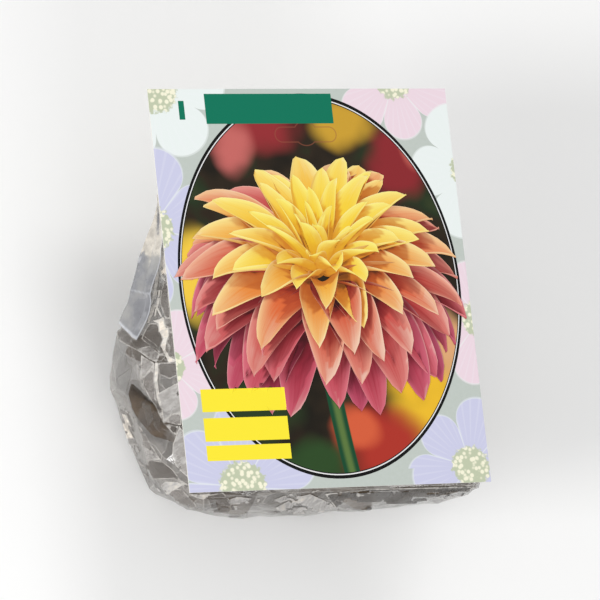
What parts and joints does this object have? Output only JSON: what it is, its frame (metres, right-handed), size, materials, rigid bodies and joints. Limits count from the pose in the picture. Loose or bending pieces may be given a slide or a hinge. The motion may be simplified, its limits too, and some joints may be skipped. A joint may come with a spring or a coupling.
{
  "type": "dahlia tuber retail pack",
  "caption": "Dahlia tuber clump in a clear crinkled film bag behind a printed picture card, lying on its back.",
  "frame": {"origin": "on the surface that the pack lies on, under the middle of its outline", "axes": "+X is the card's right, +Y is the card's top edge, +Z is the way the picture faces"},
  "size_m": [0.186, 0.206, 0.0723],
  "materials": {
    "printed_card": "glossy coated printed board",
    "adhesive": "dull translucent double-sided strip",
    "clear_film": "thin clear crinkled film, glossy with a milky haze",
    "tuber_skin": "dry brown skin with soil dust"
  },
  "bodies": {
    "root": {"picture_card": "printed_card", "adhesive_strip_upper": "adhesive", "adhesive_strip_lower": "adhesive", "film_bag": "clear_film", "tuber_clump": "tuber_skin"}
  },
  "joints": []
}
